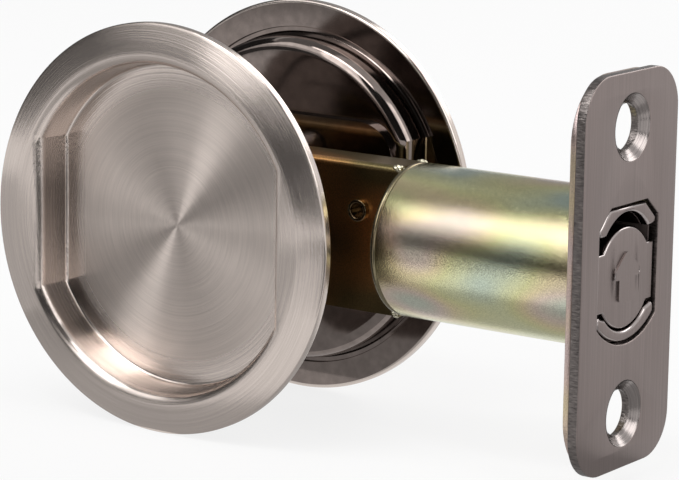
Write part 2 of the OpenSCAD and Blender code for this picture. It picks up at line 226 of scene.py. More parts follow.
def new_metal(name, colour, roughness, anisotropic=0.0):
    """Bare metal, with its tree, its shader and the place on the object"""
    material = bpy.data.materials.new(name)
    material.use_nodes = True
    tree = material.node_tree
    shader = tree.nodes["Principled BSDF"]
    shader.inputs["Metallic"].default_value = 1
    shader.inputs["Base Color"].default_value = (*colour, 1)
    shader.inputs["Roughness"].default_value = roughness
    shader.inputs["Anisotropic"].default_value = anisotropic
    place = tree.nodes.new("ShaderNodeTexCoord").outputs["Object"]
    return material, tree, shader, place

def vary_colour(tree, shader, colour, factor, spread):
    """Makes a colour, given or from a socket, darker and lighter by a share where a noise is low and high"""
    level = tree.nodes.new("ShaderNodeMapRange")
    level.inputs["From Min"].default_value = 0.3
    level.inputs["From Max"].default_value = 0.7
    level.inputs["To Min"].default_value = 1 - spread
    level.inputs["To Max"].default_value = 1 + spread
    tree.links.new(factor, level.inputs["Value"])
    shade = tree.nodes.new("ShaderNodeVectorMath")
    shade.operation = "SCALE"
    if isinstance(colour, tuple):
        shade.inputs[0].default_value = colour
    else:
        tree.links.new(colour, shade.inputs[0])
    tree.links.new(level.outputs[0], shade.inputs["Scale"])
    tree.links.new(shade.outputs[0], shader.inputs["Base Color"])

def relief(tree, shader, factor, depth_mm):
    bump = tree.nodes.new("ShaderNodeBump")
    bump.inputs["Strength"].default_value = 1
    bump.inputs["Distance"].default_value = depth_mm * mm
    tree.links.new(factor, bump.inputs["Height"])
    tree.links.new(bump.outputs[0], shader.inputs["Normal"])

def spun_metal(name, colour, smooth, brushed, line_mm, sweep, spread, depth_mm):
    """Metal brushed round the Y axis, as rough as the mesh's brushing attribute says"""
    material, tree, shader, place = new_metal(name, colour, brushed, 1.0)
    worked = tree.nodes.new("ShaderNodeAttribute")
    worked.attribute_name = "brushing"
    rough = tree.nodes.new("ShaderNodeMapRange")
    rough.inputs["To Min"].default_value = smooth
    rough.inputs["To Max"].default_value = brushed
    tree.links.new(worked.outputs["Fac"], rough.inputs["Value"])
    tree.links.new(rough.outputs[0], shader.inputs["Roughness"])
    flat = mixed(tree, "MULTIPLY", place, (1, 0, 1))
    outward = mixed(tree, "NORMALIZE", flat)
    around = mixed(tree, "CROSS_PRODUCT", outward, (0, 1, 0))
    normal = tree.nodes.new("ShaderNodeNewGeometry").outputs["Normal"]
    across = mixed(tree, "NORMALIZE", mixed(tree, "CROSS_PRODUCT", normal, around))
    tree.links.new(across, shader.inputs["Tangent"])
    depth = tree.nodes.new("ShaderNodeSeparateXYZ")
    tree.links.new(place, depth.inputs[0])
    lines = tree.nodes.new("ShaderNodeCombineXYZ")
    tree.links.new(length(tree, flat), lines.inputs[0])
    tree.links.new(depth.outputs["Y"], lines.inputs[1])
    lines_per_m = 1 / (line_mm * mm)
    stretched = mixed(tree, "MULTIPLY", lines.outputs[0], (lines_per_m, lines_per_m, 1))
    strokes = mixed(tree, "ADD", stretched, mixed(tree, "MULTIPLY", outward, (sweep, 0, sweep)))
    grain = noise(tree, strokes, 1, 3)
    vary_colour(tree, shader, colour, grain, spread)
    relief(tree, shader, grain, depth_mm)
    return material

def grained_metal(name, colour, roughness, grains_per_m, spread):
    material, tree, shader, place = new_metal(name, colour, roughness)
    vary_colour(tree, shader, colour, noise(tree, place, grains_per_m), spread)
    return material

satin = spun_metal("satin_nickel", colour=(0.62, 0.545, 0.50), smooth=0.12, brushed=0.32, line_mm=0.2,
                   sweep=2.6, spread=0.07, depth_mm=0.03)
black = grained_metal("black_nickel", (0.21, 0.175, 0.16), roughness=0.1, grains_per_m=700, spread=0.12)

def box_mm(node):
    return [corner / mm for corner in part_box(node)]

cup_lo, cup_hi = box_mm("front_cup")
door_face = 17.5
rim_r = (cup_hi.x - cup_lo.x) / 2
crest = -door_face - cup_lo.y
body_depth = cup_hi.y + door_face
recess_r, wall_half, sheet = 24.8, 22, 1.1
floor_h, floor_edge, back_edge = sheet - body_depth, 5.5, 4
lip_r, corner_r, back_corner_r, draft = 1.6, 0.5, 2.2, 0.3
crest_r = recess_r + lip_r
rim_edge, edge_r, edge_turn, under_r = 1.6, 0.35, 74, 0.45
crown_curve = 1.25
groove_depth, groove_w, groove_round, groove_ease = 0.4, 0.8, 0.15, 0.1
corner_steps, lip_steps, crown_steps, edge_steps, under_steps, back_steps = 6, 16, 12, 6, 8, 14
lip_foot_brushing, rim_brushing, crown_brushing, under_brushing = 0.25, 0.4, 0.38, 0.1

def arc_points(cx, cy, r, start, end, steps):
    turns = [math.radians(start + (end - start) * i / steps) for i in range(steps + 1)]
    return [(cx + r * math.cos(t), cy + r * math.sin(t)) for t in turns]

def recess_rings():
    """Rings of (radius, half width, height, slot, brushing) from the middle of the floor to the lip's top"""
    rings = []
    for share in (0.02, 0.1, 0.2, 0.35, 0.5, 0.65, 0.8, 1):
        rings.append(((recess_r - floor_edge) * share, (wall_half - floor_edge) * share, floor_h, 0, 1))
    for from_wall, brushing in ((4.5, 0.9), (3.5, 0.55), (2.6, 0.25), (1.8, 0.08), (1.1, 0)):
        rings.append((recess_r - from_wall, wall_half - from_wall, floor_h, 0, brushing))
    corner = arc_points(-draft - corner_r, floor_h + corner_r, corner_r, -90, 0, corner_steps)
    for i, (o, h) in enumerate(corner):
        brushing = lip_foot_brushing * (i / corner_steps) ** 2
        rings.append((recess_r + o, wall_half + o, h, 0, brushing))
    lip = arc_points(lip_r, crest - lip_r, lip_r, 180, 90, lip_steps)
    for i, (o, h) in enumerate(lip):
        brushing = lip_foot_brushing + (rim_brushing - lip_foot_brushing) * (i / lip_steps) ** 2
        rings.append((recess_r + o, wall_half + o, h, 0, brushing))
    return rings

def rim_rings():
    """Rings from the crest over the crown and the outer edge to the door's face"""
    rings = [(crest_r, crest_r, crest, 0, rim_brushing)]
    edge = arc_points(rim_r - edge_r, rim_edge - edge_r, edge_r, edge_turn, 0, edge_steps)
    crown_end_r, crown_end_h = edge[0]
    for i in range(1, crown_steps):
        share = i / crown_steps
        r = crest_r + (crown_end_r - crest_r) * share
        h = crest - (crest - crown_end_h) * share ** crown_curve
        rings.append((r, r, h, 0, crown_brushing))
    rings += [(r, r, h, 0, rim_brushing) for r, h in edge]
    under = arc_points(rim_r - under_r, under_r, under_r, 0, -80, under_steps)
    under.append((rim_r - under_r - 0.1, 0))
    return rings + [(r, r, h, 0, under_brushing) for r, h in under]

def back_rings():
    """Rings from the groove behind the rim over the drawn body to the middle of its back"""
    body_r, body_half = recess_r + sheet, wall_half + sheet
    groove_r = body_r + groove_w
    rings = [(r, r, h, 1, 0) for r, h in (
        (groove_r + groove_ease, 0), (groove_r + 0.3 * groove_ease, 0.3 * groove_ease),
        (groove_r, groove_ease), (groove_r, groove_depth))]
    body = [(groove_round, groove_depth), (0, groove_depth - groove_round), (0, groove_ease)]
    body += arc_points(-draft - back_corner_r, back_corner_r - body_depth, back_corner_r, 0, -90, back_steps)
    rings += [(body_r + o, body_half + o, h, 1, 0) for o, h in body]
    for share in (1, 0.75, 0.5, 0.25, 0.02):
        rings.append(((body_r - back_edge) * share, (body_half - back_edge) * share, -body_depth, 1, 0))
    return rings

def join_rows(bm, rows, slots):
    """Faces between one ring of vertices and the next, each band in its material slot"""
    for i in range(len(rows) - 1):
        for k in range(len(rows[0])):
            j = (k + 1) % len(rows[0])
            face = bm.faces.new((rows[i][k], rows[i + 1][k], rows[i + 1][j], rows[i][j]))
            face.material_index = slots[i]

def close_up(bm):
    bmesh.ops.remove_doubles(bm, verts=bm.verts, dist=1e-7)
    bmesh.ops.recalc_face_normals(bm, faces=bm.faces)

def finish_piece(name, bm, materials, sharp_degrees, body, slot, *replaced):
    mesh = bpy.data.meshes.new(name)
    bm.to_mesh(mesh)
    bm.free()
    for material in materials:
        mesh.materials.append(material)
    mesh.shade_smooth()
    mesh.set_sharp_from_angle(angle=math.radians(sharp_degrees))
    piece = bpy.data.objects.new(name, mesh)
    scene.collection.objects.link(piece)
    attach(piece, body)
    if replaced:
        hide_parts(*replaced)
    return piece

def cup(name, node, side):
    """One closed skin; a ring is a circle that two straight stretches cut short at the finger walls"""
    flat_steps, round_steps, sharp = 20, 110, 19
    crest_kink = math.acos((wall_half + lip_r) / crest_r)
    rings = recess_rings() + rim_rings() + back_rings()
    bm = bmesh.new()
    brushed_share = bm.verts.layers.float.new("brushing")
    rows = []
    for r, half, h, slot, brushing in rings:
        kink = math.acos(half / r) if half < r else crest_kink
        row = []
        for start in (0, math.pi):
            for i in range(flat_steps):
                a = start + kink * (2 * i / flat_steps - 1)
                reach = half / math.cos(a - start) if half < r else r
                row.append((a, reach))
            for i in range(round_steps):
                row.append((start + kink + (math.pi - 2 * kink) * i / round_steps, r))
        y = side * (door_face + h)
        rows.append([bm.verts.new(Vector((reach * math.cos(a), y, reach * math.sin(a))) * mm)
                     for a, reach in row])
        for vert in rows[-1]:
            vert[brushed_share] = brushing
    join_rows(bm, rows, [ring[3] for ring in rings[1:]])
    bm.faces.new(rows[0])
    bm.faces.new(rows[-1]).material_index = 1
    close_up(bm)
    return finish_piece(name, bm, (satin, black), sharp, "lockset", "satin_nickel", node)

cup("cup_front", "front_cup", -1)
cup("cup_rear", "rear_cup", 1)


# Saddle plates and posts: a thin blackened steel plate lies behind each cup.
# Two bright steel posts stand on the front one, pass through the case and take
# the screws of the rear cup.
steel = grained_metal("bright_steel", (0.55, 0.55, 0.55), roughness=0.22, grains_per_m=1800, spread=0.05)
for name in ("front_saddle", "rear_saddle"):
    nodes[name].data.materials[0] = black
for name in ("upper_post", "lower_post"):
    nodes[name].data.materials[0] = steel


# Case and base: a folded steel channel and the bar that closes it below, under
# yellow dichromate, which is brown where the film is thick and olive or orange
# beside it.
def dichromate(name, colours, patch_mm, roughness, speckle_mm, depth_mm, spread=0.18):
    """Film whose colour runs through some tints in soft patches, drawn out along the tube"""
    material, tree, shader, place = new_metal(name, colours[0], roughness)
    ramp = tree.nodes.new("ShaderNodeValToRGB")
    elements = ramp.color_ramp.elements
    first, last = 0.28, 0.72
    for i, colour in enumerate(colours):
        at = first + (last - first) * i / (len(colours) - 1)
        element = elements[0] if i == 0 else elements.new(at)
        element.position = at
        element.color = (*colour, 1)
    elements[-1].color = (*colours[-1], 1)
    along = mixed(tree, "MULTIPLY", place, (0.55, 1, 1))
    tree.links.new(noise(tree, along, 1 / (patch_mm * mm), 0.6), ramp.inputs["Fac"])
    speckle = noise(tree, place, 1 / (speckle_mm * mm), 1)
    vary_colour(tree, shader, ramp.outputs[0], speckle, spread)
    relief(tree, shader, speckle, depth_mm)
    return material

olive, brown, orange = (0.12, 0.115, 0.06), (0.24, 0.18, 0.08), (0.85, 0.4, 0.14)
brown_film = dichromate("zinc_brown", (olive, brown, orange), patch_mm=12, roughness=0.3, speckle_mm=0.25,
                        depth_mm=0.01)
for name in ("latch_case", "case_base"):
    nodes[name].data.materials[0] = brown_film


# Stem, lift block, catch and springs: the works of bright steel in the case and
# the tube. One coil of round wire stands on the lift block and holds the pull
# down, and a longer one lies along the stem and pushes the pull out.
for name in ("catch_plate", "lift_block", "pull_stem", "stem_pin", "stop_pin"):
    nodes[name].data.materials[0] = steel

def coil_tree():
    """A round wire wound along Z, with both ends capped"""
    tree = bpy.data.node_groups.new("coil_spring", "GeometryNodeTree")
    for label, kind in (("Turns", "NodeSocketFloat"), ("Coil radius", "NodeSocketFloat"),
                        ("Length", "NodeSocketFloat"), ("Wire radius", "NodeSocketFloat"),
                        ("Steps", "NodeSocketInt"), ("Wire steps", "NodeSocketInt"),
                        ("Material", "NodeSocketMaterial")):
        tree.interface.new_socket(label, in_out="INPUT", socket_type=kind)
    tree.interface.new_socket("Coil", in_out="OUTPUT", socket_type="NodeSocketGeometry")
    given = tree.nodes.new("NodeGroupInput").outputs
    path = tree.nodes.new("GeometryNodeCurveSpiral")
    for ours, theirs in (("Steps", "Resolution"), ("Turns", "Rotations"), ("Coil radius", "Start Radius"),
                         ("Coil radius", "End Radius"), ("Length", "Height")):
        tree.links.new(given[ours], path.inputs[theirs])
    wire = tree.nodes.new("GeometryNodeCurvePrimitiveCircle")
    tree.links.new(given["Wire steps"], wire.inputs["Resolution"])
    tree.links.new(given["Wire radius"], wire.inputs["Radius"])
    swept = tree.nodes.new("GeometryNodeCurveToMesh")
    swept.inputs["Fill Caps"].default_value = True
    tree.links.new(path.outputs["Curve"], swept.inputs["Curve"])
    tree.links.new(wire.outputs["Curve"], swept.inputs["Profile Curve"])
    dress(tree, swept.outputs["Mesh"], given["Material"], "Coil")
    return tree

def dress(tree, geometry, material, output):
    """Ends a tree in real, painted geometry"""
    real = tree.nodes.new("GeometryNodeRealizeInstances")
    tree.links.new(geometry, real.inputs["Geometry"])
    dressed = tree.nodes.new("GeometryNodeSetMaterial")
    tree.links.new(real.outputs["Geometry"], dressed.inputs["Geometry"])
    tree.links.new(material, dressed.inputs["Material"])
    tree.links.new(dressed.outputs["Geometry"], tree.nodes.new("NodeGroupOutput").inputs[output])

def grown(name, tree, values):
    """Runs a node tree with the given inputs and returns its result as a bmesh"""
    maker = bpy.data.objects.new(name + "_maker", bpy.data.meshes.new(name + "_maker"))
    scene.collection.objects.link(maker)
    modifier = maker.modifiers.new("nodes", "NODES")
    modifier.node_group = tree
    for item in tree.interface.items_tree:
        if item.item_type == "SOCKET" and item.in_out == "INPUT":
            modifier[item.identifier] = values[item.name]
    bpy.context.view_layer.update()
    mesh = bpy.data.meshes.new_from_object(maker.evaluated_get(bpy.context.evaluated_depsgraph_get()))
    result = bmesh.new()
    result.from_mesh(mesh)
    bpy.data.objects.remove(maker)
    return result

coil_shape = coil_tree()

def spring(name, turns, wire_r, along_x, body, node):
    """A coil that fills its node's box along Z or X"""
    lo, hi = box_mm(node)
    middle, size = (lo + hi) / 2, hi - lo
    long, wide = (size.x, size.y) if along_x else (size.z, size.y)
    coil = grown(name, coil_shape, {
        "Turns": turns, "Coil radius": (wide / 2 - wire_r) * mm, "Length": (long - 2 * wire_r) * mm,
        "Wire radius": wire_r * mm, "Steps": 28, "Wire steps": 14, "Material": steel})
    bmesh.ops.translate(coil, verts=coil.verts, vec=(0, 0, (wire_r - long / 2) * mm))
    if along_x:
        bmesh.ops.rotate(coil, verts=coil.verts, matrix=Matrix.Rotation(math.pi / 2, 3, "Y"))
    bmesh.ops.translate(coil, verts=coil.verts, vec=middle * mm)
    return finish_piece(name, coil, (steel,), 40, body, "bright_steel", node)

lift, squash_slack = 1.8, 0.02
lift_coil = spring("coil_lift", 4, 0.25, False, "lockset", "lift_spring")
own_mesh(lift_coil)
spring("coil_pull", 6, 0.4, True, "pull", "pull_spring")


# Cross pins: two turned steel pins across the case, under a dark dichromate.
# Their ends are hollow, with a rounded edge, and stand out a little.
def turned_shape(profile, steps):
    """Mesh of a profile of (x, r) points turned about the X axis, closed by itself or at r = 0"""
    bm = bmesh.new()
    turns = [2 * math.pi * k / steps for k in range(steps)]
    rows = [[bm.verts.new(Vector((x, r * math.cos(t), r * math.sin(t))) * mm) for t in turns]
            for x, r in profile]
    if profile[0][1] > 0:
        rows.append(rows[0])
    join_rows(bm, rows, [0] * len(rows))
    close_up(bm)
    return bm

def repeat_tree():
    """Copies of one piece along a line, each turned a little by a fixed seed"""
    tree = bpy.data.node_groups.new("repeated_piece", "GeometryNodeTree")
    for label, kind in (("Piece", "NodeSocketObject"), ("Start", "NodeSocketVector"),
                        ("Step", "NodeSocketVector"), ("Count", "NodeSocketInt"),
                        ("Turn", "NodeSocketVector"), ("Seed", "NodeSocketInt"),
                        ("Material", "NodeSocketMaterial")):
        tree.interface.new_socket(label, in_out="INPUT", socket_type=kind)
    tree.interface.new_socket("Copies", in_out="OUTPUT", socket_type="NodeSocketGeometry")
    given = tree.nodes.new("NodeGroupInput").outputs
    line = tree.nodes.new("GeometryNodeMeshLine")
    for ours, theirs in (("Count", "Count"), ("Start", "Start Location"), ("Step", "Offset")):
        tree.links.new(given[ours], line.inputs[theirs])
    piece = tree.nodes.new("GeometryNodeObjectInfo")
    tree.links.new(given["Piece"], piece.inputs["Object"])
    turn = tree.nodes.new("FunctionNodeRandomValue")
    turn.data_type = "FLOAT_VECTOR"
    turn.inputs["Min"].default_value = (0, 0, 0)
    tree.links.new(given["Turn"], turn.inputs["Max"])
    tree.links.new(given["Seed"], turn.inputs["Seed"])
    copies = tree.nodes.new("GeometryNodeInstanceOnPoints")
    tree.links.new(line.outputs["Mesh"], copies.inputs["Points"])
    tree.links.new(piece.outputs["Geometry"], copies.inputs["Instance"])
    tree.links.new(turn.outputs["Value"], copies.inputs["Rotation"])
    dress(tree, copies.outputs["Instances"], given["Material"], "Copies")
    return tree

copies_in_line = repeat_tree()

def repeated(name, bm, sharp_degrees, start, step, turn, seed, material, body, slot, *replaced):
    """Two copies of a mesh, a step in millimetres apart, as one plain piece"""
    pattern = bpy.data.objects.new(name + "_pattern", bpy.data.meshes.new(name + "_pattern"))
    bm.to_mesh(pattern.data)
    bm.free()
    scene.collection.objects.link(pattern)
    copies = grown(name, copies_in_line, {
        "Piece": pattern, "Start": Vector(start) * mm, "Step": Vector(step) * mm, "Count": 2,
        "Turn": turn, "Seed": seed, "Material": material})
    bpy.data.objects.remove(pattern)
    return finish_piece(name, copies, (material,), sharp_degrees, body, slot, *replaced)

dark_film = dichromate("zinc_dark", ((0.13, 0.11, 0.06), (0.2, 0.14, 0.08)), patch_mm=3, roughness=0.2,
                       speckle_mm=0.25, depth_mm=0.01)
pin_lo, pin_hi = box_mm("front_pin")
rear_pin_lo, rear_pin_hi = box_mm("rear_pin")
pin_end, pin_r = pin_hi.y, (pin_hi.x - pin_lo.x) / 2
hollow_r, hollow_depth, pin_edge, pin_steps = 1.15, 1.4, 0.16, 48
half_pin = [(pin_end - hollow_depth, 0), (pin_end - hollow_depth, hollow_r), (pin_end - pin_edge, hollow_r)]
half_pin += arc_points(pin_end - pin_edge, hollow_r + pin_edge, pin_edge, -90, 0, 4)[1:]
half_pin += arc_points(pin_end - pin_edge, pin_r - pin_edge, pin_edge, 0, 90, 4)
pin = turned_shape(half_pin + [(-x, r) for x, r in reversed(half_pin)], pin_steps)
bmesh.ops.rotate(pin, verts=pin.verts, matrix=Matrix.Rotation(math.pi / 2, 3, "Z"))
repeated("cross_pins", pin, 40, ((pin_lo.x + pin_hi.x) / 2, 0, (pin_lo.z + pin_hi.z) / 2),
         (rear_pin_lo.x - pin_lo.x, 0, 0), (0, 0, 0), 3, dark_film, "lockset", "zinc_dichromate",
         "front_pin", "rear_pin")


# Cup screws: two bright steel machine screws with round-edged heads and cross
# slots. They lie on the floor of the rear cup and hold it to the posts.
def crossed(bm, top, slot_half, slot_long, depth):
    """Cuts a cross slot into the end of a screw that stands along the Y axis"""
    shapes = [bm]
    for wide, high in ((slot_long, slot_half), (slot_half, slot_long)):
        bar = bmesh.new()
        bmesh.ops.create_cube(bar, size=2)
        bmesh.ops.scale(bar, verts=bar.verts, vec=Vector((wide, depth, high)) * mm)
        bmesh.ops.translate(bar, verts=bar.verts, vec=(0, top * mm, 0))
        shapes.append(bar)
    solids = []
    for shape in shapes:
        mesh = bpy.data.meshes.new("cut")
        shape.to_mesh(mesh)
        shape.free()
        solids.append(bpy.data.objects.new("cut", mesh))
        scene.collection.objects.link(solids[-1])
    for bar in solids[1:]:
        cut = solids[0].modifiers.new("slot", "BOOLEAN")
        cut.operation = "DIFFERENCE"
        cut.solver = "EXACT"
        cut.object = bar
    bpy.context.view_layer.update()
    mesh = bpy.data.meshes.new_from_object(solids[0].evaluated_get(bpy.context.evaluated_depsgraph_get()))
    for used in solids:
        bpy.data.objects.remove(used)
    result = bmesh.new()
    result.from_mesh(mesh)
    return result

screw_lo, screw_hi = box_mm("upper_screw")
other_lo, other_hi = box_mm("lower_screw")
screw_head_r, screw_head_t, screw_r = (screw_hi.x - screw_lo.x) / 2, 1.6, 1.75
head_round, head_ease, tip_ease, screw_steps = 0.5, 0.1, 0.3, 64
under_head = screw_hi.y - screw_head_t
screw_side = [(screw_lo.y, 0), (screw_lo.y, screw_r - tip_ease), (screw_lo.y + tip_ease, screw_r)]
screw_side += [(under_head, screw_r), (under_head, screw_head_r - head_ease)]
screw_side += [(under_head + head_ease, screw_head_r)]
screw_side += arc_points(screw_hi.y - head_round, screw_head_r - head_round, head_round, 0, 90, 6)[::-1]
screw_side += [(screw_hi.y, 0)]
screw = turned_shape(screw_side, screw_steps)
bmesh.ops.rotate(screw, verts=screw.verts, matrix=Matrix.Rotation(math.pi / 2, 3, "Z"))
screw = crossed(screw, screw_hi.y, slot_half=0.55, slot_long=2.1, depth=0.8)
repeated("cup_screws", screw, 30, (0, 0, (screw_lo.z + screw_hi.z) / 2), (0, 0, other_lo.z - screw_lo.z),
         (0, 0, 0), 5, steel, "lockset", "bright_steel", "upper_screw", "lower_screw")


# Staked corners: four small lumps where the end of the case was peened over at
# the tube. The punch left them rough, and their film is thin and pale.
case_lo, case_hi = box_mm("latch_case")
lump_long, lump_wide, lump_high, swell = 0.85, 0.6, 0.55, 0.35
lump_in_x, lump_in_y, lump_in_z = 0.7, 0.45, 0.35
staked, tree, shader, place = new_metal("staked_zinc", (0.62, 0.58, 0.44), 0.3)
relief(tree, shader, noise(tree, place, 2200), 0.08)
for name, y in (("near_tabs", case_lo.y + lump_in_y), ("far_tabs", case_hi.y - lump_in_y)):
    lump = bmesh.new()
    bmesh.ops.create_icosphere(lump, subdivisions=4, radius=1)
    for vert in lump.verts:
        dented = lumps(vert.co * 1.7) + 0.5 * lumps(vert.co * 4)
        size = Vector((lump_long, lump_wide, lump_high)) * mm
        vert.co = size * vert.co * (1 + swell * dented)
    repeated(name, lump, 60, (case_hi.x - lump_in_x, y, case_hi.z - lump_in_z),
             (0, 0, case_lo.z - case_hi.z + 2 * lump_in_z), (0.5, 0.3, 0.4), 7, staked, "lockset",
             "zinc_dichromate")


# Tube and end cap: drawn steel tube under yellow dichromate with green and pink
# tints. A pressed cap closes its rear end; its rounded flange has a dull brown
# film and shows as a second line.
yellow_film = dichromate("zinc_dichromate", (
    (0.47, 0.55, 0.47), (0.60, 0.62, 0.40), (0.64, 0.62, 0.34), (0.68, 0.58, 0.36), (0.64, 0.53, 0.44),
    (0.52, 0.54, 0.45)), patch_mm=9, roughness=0.19, speckle_mm=0.16, depth_mm=0.022, spread=0.16)
dull_film = dichromate("zinc_dull", ((0.17, 0.155, 0.10), (0.24, 0.19, 0.12)), patch_mm=6, roughness=0.25,
                       speckle_mm=0.22, depth_mm=0.01)
tube_lo, tube_hi = box_mm("latch_tube")
cap_lo, cap_hi = box_mm("tube_cap")
tube_r, wall, start_r, tube_steps = tube_hi.z, 1, 0.25, 180
bore_r = tube_r - wall
shell = arc_points(tube_lo.x + start_r, tube_r - start_r, start_r, 180, 90, 5)
shell += [(tube_hi.x, tube_r), (tube_hi.x, bore_r), (tube_lo.x, bore_r)]
finish_piece("tube_shell", turned_shape(shell, tube_steps), (yellow_film,), 25, "lockset", "zinc_dichromate",
             "latch_tube")
flange_r, cap_gap = 0.42, 0.02
flange_front, plug_r = tube_lo.x - cap_gap, bore_r - cap_gap
dish_depth, dish_rim, dish_slope = 0.25, 2, 0.6
cap = [(cap_hi.x, 0), (cap_hi.x, plug_r), (flange_front, plug_r)]
cap += arc_points(flange_front - flange_r, tube_r - flange_r, flange_r, 0, 90, 5)
cap += arc_points(cap_lo.x + flange_r, tube_r - flange_r, flange_r, 90, 180, 5)
cap += [(cap_lo.x, bore_r - dish_rim), (cap_lo.x + dish_depth, bore_r - dish_rim - dish_slope)]
cap += [(cap_lo.x + dish_depth, 0)]
finish_piece("tube_end", turned_shape(cap, tube_steps), (dull_film,), 25, "lockset", "zinc_dichromate",
             "tube_cap")


# Face plate and backing plate: steel blanks, punched with torn edges. The face
# is brushed lengthwise and countersunk; its nickel is the cups' nickel given a
# darker colour, as painted shade. The thinner plate behind it is zinc plated, with a pink film.
def brushed_metal(name, colour, roughness, spread, line_mm, strokes_per_m, depth_mm):
    """Metal brushed along Z"""
    material, tree, shader, place = new_metal(name, colour, roughness, 0.9)
    across = tree.nodes.new("ShaderNodeCombineXYZ")
    across.inputs["Y"].default_value = 1
    tree.links.new(across.outputs[0], shader.inputs["Tangent"])
    lines_per_m = 1 / (line_mm * mm)
    strokes = mixed(tree, "MULTIPLY", place, (lines_per_m, lines_per_m, strokes_per_m))
    grain = noise(tree, strokes, 1, 3)
    vary_colour(tree, shader, colour, grain, spread)
    relief(tree, shader, grain, depth_mm)
    return material

def torn_metal(name, colour, roughness, tears_per_m, spread, depth_mm):
    """A sheared edge, torn across the sheet"""
    material, tree, shader, place = new_metal(name, colour, roughness)
    tears = noise(tree, mixed(tree, "MULTIPLY", place, tears_per_m), 1, 4)
    vary_colour(tree, shader, colour, tears, spread)
    relief(tree, shader, tears, depth_mm)
    return material

def turned_metal(name, colour, roughness, rings_per_m, drift_per_m, spread, depth_mm):
    """Chatter rings round the axis of each of the two screw holes"""
    material, tree, shader, place = new_metal(name, colour, roughness)
    from_hole = mixed(tree, "SUBTRACT", mixed(tree, "ABSOLUTE", place), (0, 0, hole_half * mm))
    chatter = tree.nodes.new("ShaderNodeCombineXYZ")
    tree.links.new(length(tree, mixed(tree, "MULTIPLY", from_hole, (0, 1, 1))), chatter.inputs["X"])
    rings = mixed(tree, "MULTIPLY", chatter.outputs[0], (rings_per_m, 0, 0))
    drift = mixed(tree, "MULTIPLY", from_hole, (0, drift_per_m, drift_per_m))
    turning = noise(tree, mixed(tree, "ADD", rings, drift), 1, 3)
    vary_colour(tree, shader, colour, turning, spread)
    relief(tree, shader, turning, depth_mm)
    return material

hole_half = 20.64
# The face plate, guide and pull share this nickel; its colour, darker than the cups' satin nickel, is painted
# shade.
brushed = brushed_metal("brushed_nickel", (0.262, 0.217, 0.205), roughness=0.34, spread=0.09, line_mm=0.16,
                        strokes_per_m=60, depth_mm=0.008)
sheared = torn_metal("sheared_edge", (0.19, 0.168, 0.16), roughness=0.34, tears_per_m=(900, 2200, 3600),
                     spread=0.45, depth_mm=0.1)
turned = turned_metal("turned_nickel", (0.27, 0.24, 0.23), roughness=0.2, rings_per_m=6000, drift_per_m=120,
                      spread=0.22, depth_mm=0.03)
polished = grained_metal("polished_nickel", (0.36, 0.32, 0.31), roughness=0.13, grains_per_m=1200, spread=0.1)
pink_film = dichromate("zinc_pink", ((0.62, 0.52, 0.34), (0.62, 0.48, 0.42), (0.55, 0.45, 0.46)), patch_mm=7,
                       roughness=0.3, speckle_mm=0.2, depth_mm=0.02)

plate_lo, plate_hi = box_mm("face_plate")
back_lo, back_hi = box_mm("back_plate")
plate_w, plate_h, plate_corner_r = plate_hi.y - plate_lo.y, plate_hi.z - plate_lo.z, 6.35
back_w, back_h, back_plate_corner_r = back_hi.y - back_lo.y, back_hi.z - back_lo.z, 9
hole_r, sink_r, sink_land, sink_ease, sink_step = 3.3, 4.8, 0.4, 0.1, 0.02
back_hole_r = hole_r + 0.3
window_half, window_top, window_slope, window_flat = 8.1, 9.8, 2.6, 5
window_r, window_arc_z = 11.7, 1.3
layer_gap = 0.01

def blank(name, loops, x0, x1, ease, materials, body, slot, *replaced, edge_below=0.3, extra=None):
    """A flat piece across the tube's axis: outer loop and holes of (y, z) points, with eased edges"""
    curve = bpy.data.curves.new(name, "CURVE")
    curve.dimensions = "2D"
    curve.fill_mode = "BOTH"
    curve.extrude = ((x1 - x0) / 2 - ease) * mm
    curve.bevel_depth = ease * mm
    curve.bevel_resolution = 3
    curve.offset = -ease * mm
    for loop in loops:
        spline = curve.splines.new("POLY")
        spline.points.add(len(loop) - 1)
        for point, (y, z) in zip(spline.points, loop):
            point.co = (y * mm, z * mm, 0, 1)
        spline.use_cyclic_u = True
    drawn = bpy.data.objects.new(name + "_outline", curve)
    scene.collection.objects.link(drawn)
    bpy.context.view_layer.update()
    mesh = bpy.data.meshes.new_from_object(drawn.evaluated_get(bpy.context.evaluated_depsgraph_get()))
    bpy.data.objects.remove(drawn)
    mesh.transform(Matrix(((0, 0, 1, (x0 + x1) / 2 * mm), (1, 0, 0, 0), (0, 1, 0, 0), (0, 0, 0, 1))))
    bm = bmesh.new()
    bm.from_mesh(mesh)
    bpy.data.meshes.remove(mesh)
    close_up(bm)
    for face in bm.faces:
        face.material_index = 1 if abs(face.normal.x) < edge_below else 0
    if extra:
        extra(bm)
    return finish_piece(name, bm, materials, 28, body, slot, *replaced)

def ring(r, cz, steps=72):
    turns = [2 * math.pi * i / steps for i in range(steps)]
    return [(r * math.cos(t), cz + r * math.sin(t)) for t in turns]

def rounded(w, h, r, steps=14, cz=0):
    corners = ((w / 2 - r, h / 2 - r, 0), (r - w / 2, h / 2 - r, 90), (r - w / 2, r - h / 2, 180),
               (w / 2 - r, r - h / 2, 270))
    return [(y, z + cz) for cy, z0, start in corners
            for y, z in arc_points(cy, z0, r, start, start + 90, steps)]

def window_loop():
    half, top = window_half, window_top
    side = math.degrees(math.acos(half / window_r))
    loop = [(half, top - window_slope), (window_flat, top), (-window_flat, top), (-half, top - window_slope)]
    return loop + arc_points(0, window_arc_z, window_r, 180 + side, 360 - side, 30)

